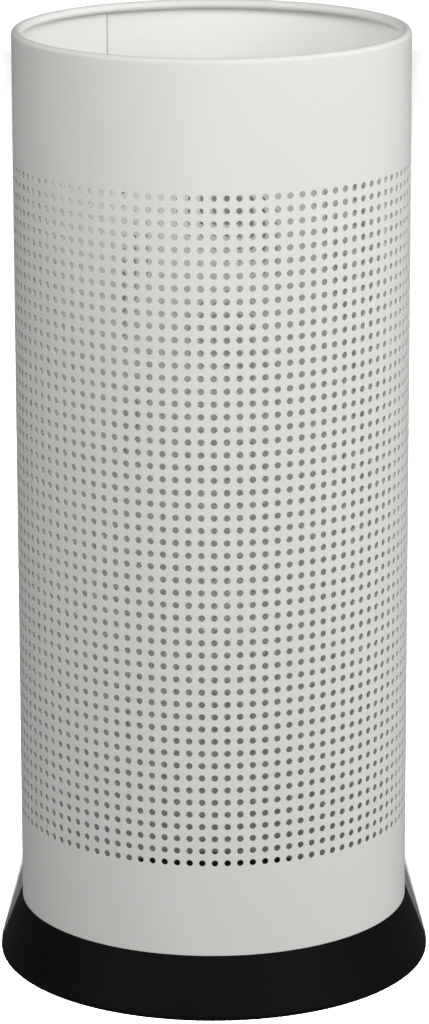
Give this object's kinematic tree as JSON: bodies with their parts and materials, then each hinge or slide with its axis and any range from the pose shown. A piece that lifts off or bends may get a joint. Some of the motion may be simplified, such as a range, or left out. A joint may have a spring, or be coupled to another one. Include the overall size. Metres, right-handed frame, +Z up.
{
  "type": "umbrella stand",
  "caption": "Round sheet-steel umbrella stand with a perforated wall and curled rim, in a flared plastic base with a lift-out drip tray.",
  "frame": {"origin": "on the floor, on the tube's axis", "axes": "+Z up along the tube's axis, the front faces -Y and +X is to the right seen from the front; the tube's lap is at the back left"},
  "size_m": [0.28, 0.28, 0.61],
  "materials": {
    "coated_steel": "satin light grey powder coat",
    "base_plastic": "fine-textured black moulding",
    "tray_plastic": "smooth satin black moulding",
    "foot_rubber": "dull black rubber",
    "zinc_steel": "bright zinc plate"
  },
  "bodies": {
    "stand": {"tube_shell": "coated_steel", "bottom_pan": "coated_steel", "base_skirt": "base_plastic", "base_screws": "zinc_steel", "foot_1": "foot_rubber", "foot_2": "foot_rubber", "foot_3": "foot_rubber", "foot_4": "foot_rubber", "foot_5": "foot_rubber", "foot_6": "foot_rubber"},
    "tray": {"drip_tray": "tray_plastic"}
  },
  "joints": [
    {"name": "tray_lift", "type": "slide", "parent": "stand", "child": "tray", "axis": [0, 0, 1], "range_m": [0, 0.62]}
  ]
}
